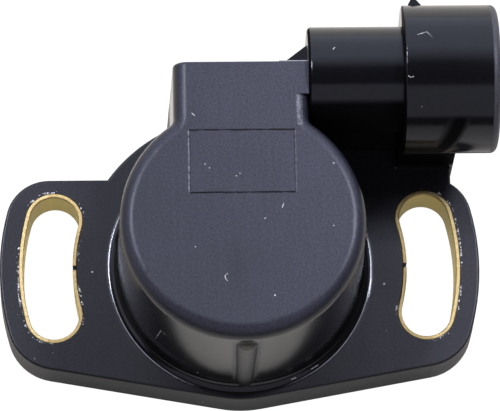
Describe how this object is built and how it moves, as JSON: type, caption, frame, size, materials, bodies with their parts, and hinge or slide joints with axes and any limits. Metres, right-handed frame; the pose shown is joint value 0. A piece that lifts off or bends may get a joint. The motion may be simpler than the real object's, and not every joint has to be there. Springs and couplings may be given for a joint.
{
  "type": "throttle position sensor",
  "caption": "Rotary sensor in a black moulded housing: slotted flange with brass liners, round cap, side connector, and a sprung rotor with a D-shaped drive hole.",
  "frame": {"origin": "on the throttle shaft's axis, at the mounting face, where the locating spigot starts", "axes": "+Z along the shaft axis towards the cap's front face, +X towards the connector's mouth, +Y towards the tower"},
  "size_m": [0.0615, 0.0465, 0.0323],
  "materials": {
    "black_plastic": "moulded glass-filled plastic, satin black",
    "brass_strip": "rolled strip, sheared edges",
    "tinned_lead": "stamped and tinned",
    "board_laminate": "paper laminate",
    "carbon_print": "printed carbon",
    "silver_print": "printed silver",
    "solder": "solder",
    "dark_plastic": "moulded, matt",
    "bush_bronze": "sintered bronze",
    "spring_steel": "bright spring steel",
    "seal_rubber": "moulded rubber",
    "rotor_plastic": "moulded, matt",
    "contact_bronze": "spring bronze sheet"
  },
  "bodies": {
    "sensor_body": {"housing": "black_plastic", "slot_liner_left": "brass_strip", "slot_liner_right": "brass_strip", "terminal_supply": "tinned_lead", "terminal_signal": "tinned_lead", "terminal_ground": "tinned_lead", "resistor_board": "board_laminate", "resistive_track": "carbon_print", "collector_track": "carbon_print", "conductor_traces": "silver_print", "solder_joints": "solder", "rear_cover": "dark_plastic", "rotor_bush": "bush_bronze", "thrust_washer": "spring_steel", "shaft_seal": "seal_rubber", "flange_seal": "seal_rubber", "return_spring": "spring_steel"},
    "rotor_body": {"rotor": "rotor_plastic", "wiper": "contact_bronze", "drive_clip": "spring_steel"}
  },
  "joints": [
    {"name": "rotor_turn", "type": "hinge", "parent": "sensor_body", "child": "rotor_body", "pos_m": [0, 0, 0], "axis": [0, 0, 1], "range_deg": [0, 105], "stiffness_Nm_per_rad": 0.008, "springref_deg": -34.38, "deforming": ["return_spring"]}
  ]
}
